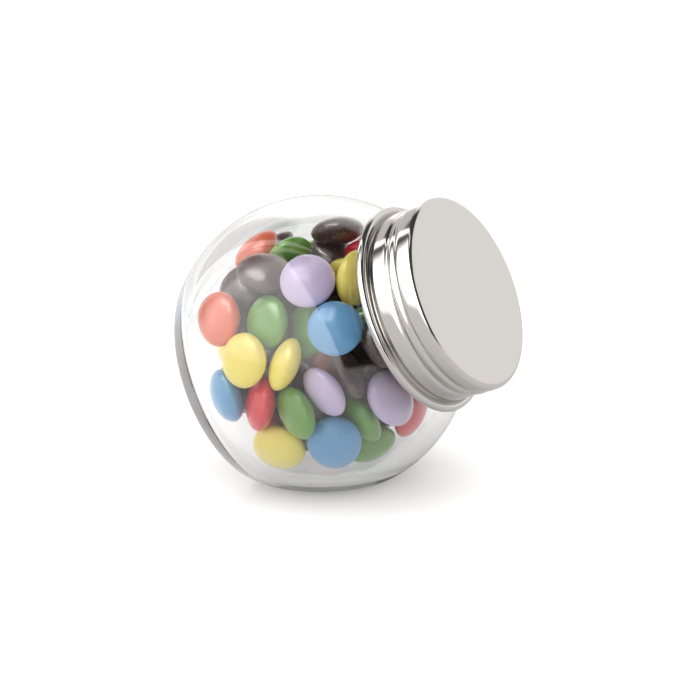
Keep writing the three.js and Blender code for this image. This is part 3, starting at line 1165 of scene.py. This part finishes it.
@dataclass(frozen=True)
class Studio:
    """A white table in a soft white studio, and the camera."""

    centre: Vector
    azimuth: float = 26.0
    elevation: float = 18.5
    distance: float = 0.9
    lens: float = 174.5
    sensor: float = 36.0
    aside: float = 7.75 * MM
    below: float = 1.2 * MM
    ambient: float = 2.1
    ambient_slope: float = 0.75
    room_level: float = 0.05
    room_colour: tuple[float, float, float] = (1.0, 0.985, 0.97)
    brightest_through_glass: float = 0.8
    brightest_on_sweets: float = 1.6
    wall_crossings: float = 3.5
    table_size: float = 6.0
    table_white: float = 0.56
    table_glow: float = 0.13
    # Painted shade and painted light: the table's white and glow as mirrored, and as seen through the glass.
    table_painted_shade_in_mirror: tuple[float, float] = (0.3, 0.07)
    table_through_glass: tuple[float, float] = (0.26, 0.36)
    cards: tuple[LightCard, ...] = (
        LightCard(
            "main softbox", bearing=-70, half_width=90, low=14, high=89, level=2.9, softness=26,
            edge=(-0.667, -0.671, -0.323), edge_shift=0.0,
        ),
        LightCard("strip behind the left", bearing=164, half_width=3, low=0, high=82, level=2.5),
        LightCard("white wall behind", bearing=62, half_width=62, low=-10, high=42, level=1.02, softness=8),
        LightCard("wall at the left", bearing=140, half_width=18, low=-10, high=30, level=0.7, softness=8),
        LightCard("top light", bearing=0, half_width=180, low=84, high=95, level=1.2),
    )
    sheen: LightCard = LightCard("sheen", bearing=-120, half_width=45, low=52, high=76, level=8.0, softness=8)

    def build(self) -> None:
        """Makes the camera, the table and the lights."""
        self._camera()
        self._table()
        self._world()

    def _camera(self) -> None:
        """A long lens from a little above."""
        a, e = math.radians(self.azimuth), math.radians(self.elevation)
        back = Vector((math.sin(a) * math.cos(e), -math.cos(a) * math.cos(e), math.sin(e)))
        right = Vector((math.cos(a), math.sin(a), 0))
        aim = self.centre + right * self.aside - back.cross(right) * self.below
        data = bpy.data.cameras.new("Camera")
        camera = bpy.data.objects.new("Camera", data)
        bpy.context.scene.collection.objects.link(camera)
        camera.location = aim + back * self.distance
        camera.rotation_euler = back.to_track_quat("Z", "Y").to_euler()
        data.lens = self.lens
        data.sensor_width = self.sensor
        bpy.context.scene.camera = camera

    def _table(self) -> None:
        """A wide white table, evenly bright to the camera. In reflections it is darker (painted shade), and
        through the glass it glows more, so its shadow there stays light (painted light).
        """
        deselect_all()
        bpy.ops.mesh.primitive_plane_add(size=self.table_size)
        table = bpy.context.object
        table.name = "floor"
        material, tree, shader = new_material("White Table")
        shader.inputs["Roughness"].default_value = 0.6
        shader.inputs["Specular IOR Level"].default_value = 0.0
        shader.inputs["Emission Color"].default_value = (1, 1, 1, 1)
        path = tree.nodes.new("ShaderNodeLightPath")
        white, glow = self.table_white, self.table_glow
        # Painted light and shade: the table is darker where it is mirrored and glows more where it is seen
        # through the glass.
        rays = {"Is Glossy Ray": self.table_painted_shade_in_mirror, "Is Transmission Ray": self.table_through_glass}
        for ray, seen in rays.items():
            white = mix_numbers(tree, path.outputs[ray], white, seen[0])
            glow = mix_numbers(tree, path.outputs[ray], glow, seen[1])
        tree.links.new(white, shader.inputs["Base Color"])
        tree.links.new(glow, shader.inputs["Emission Strength"])
        table.data.materials.append(material)

    def _world(self) -> None:
        """A soft white room. Gloss and glass show its light cards, and the camera sees plain white."""
        world = bpy.data.worlds.new("Studio")
        bpy.context.scene.world = world
        world.use_nodes = True
        tree = world.node_tree
        where, parts = tree.nodes.new("ShaderNodeTexCoord"), tree.nodes.new("ShaderNodeSeparateXYZ")
        tree.links.new(where.outputs["Generated"], parts.inputs["Vector"])
        bearing = math_node(tree, "ARCTAN2", parts.outputs["Y"], parts.outputs["X"])
        bearing = math_node(tree, "DEGREES", bearing)
        height = math_node(tree, "DEGREES", math_node(tree, "ARCSINE", parts.outputs["Z"]))
        looking = {"Direction": where.outputs["Generated"], "Bearing": bearing, "Height": height}
        group = light_card_group()
        shown = self.room_level
        for card in self.cards:
            shown = math_node(tree, "ADD", card.place(tree, group, looking), shown)
        ambient = math_node(tree, "MULTIPLY_ADD", parts.outputs["Z"], self.ambient_slope, self.ambient)
        path = tree.nodes.new("ShaderNodeLightPath")
        sheen = self.sheen.place(tree, group, looking)
        through_glass = self._seen_through_glass(tree, path, shown, sheen)
        light = mix_numbers(tree, path.outputs["Is Glossy Ray"], ambient, shown)
        light = mix_numbers(tree, path.outputs["Is Transmission Ray"], light, through_glass)
        light = mix_numbers(tree, path.outputs["Is Camera Ray"], light, 1.0)
        background = tree.nodes["Background"]
        tree.links.new(light, background.inputs["Strength"])
        background.inputs["Color"].default_value = (*self.room_colour, 1)

    def _seen_through_glass(
        self, tree: NodeTree, path: Node, shown: Number, sheen: Number
    ) -> NodeSocket:
        """The light that comes in through the glass.

        It is capped, less so where it lights the sweets. The sheen card shows only in the sweets' gloss,
        which takes four crossings of the wall.

        Args:
            tree: The world's node tree.
            path: Its Light Path node.
            shown: The light of the cards.
            sheen: The light of the sheen card.

        Returns:
            The light.
        """
        reflected = math_node(tree, "MINIMUM", path.outputs["Glossy Depth"], 1.0)
        bounced = math_node(tree, "ADD", path.outputs["Diffuse Depth"], reflected)
        bounced = math_node(tree, "MINIMUM", bounced, 1.0)
        brightest = mix_numbers(tree, bounced, self.brightest_through_glass, self.brightest_on_sweets)
        capped = math_node(tree, "MINIMUM", shown, brightest)
        from_sweets = math_node(tree, "GREATER_THAN", path.outputs["Transmission Depth"], self.wall_crossings)
        from_sweets = math_node(tree, "MULTIPLY", from_sweets, reflected)
        return math_node(tree, "MULTIPLY_ADD", from_sweets, sheen, capped)


# ---- All together ----


def main() -> None:
    """Builds every piece in order."""
    neck = NeckFrame.from_record(frame["record"], lid_top_along=ScrewLid.top)
    Studio(neck.centre).build()
    grain = surface_grain_group()
    coats = {hue: SugarCoat(hue).build(grain) for hue in Hue}
    GlassJar(neck).build(ClearGlass().build(grain, neck))
    ScrewLid(neck).build(PolishedSteel().build(grain))
    LidLiner(neck).build(Plastisol().build(grain))
    SweetFilling(neck.centre).build(coats)
    bpy.context.scene.view_settings.view_transform = "Standard"


if __name__ == "__main__":
    main()
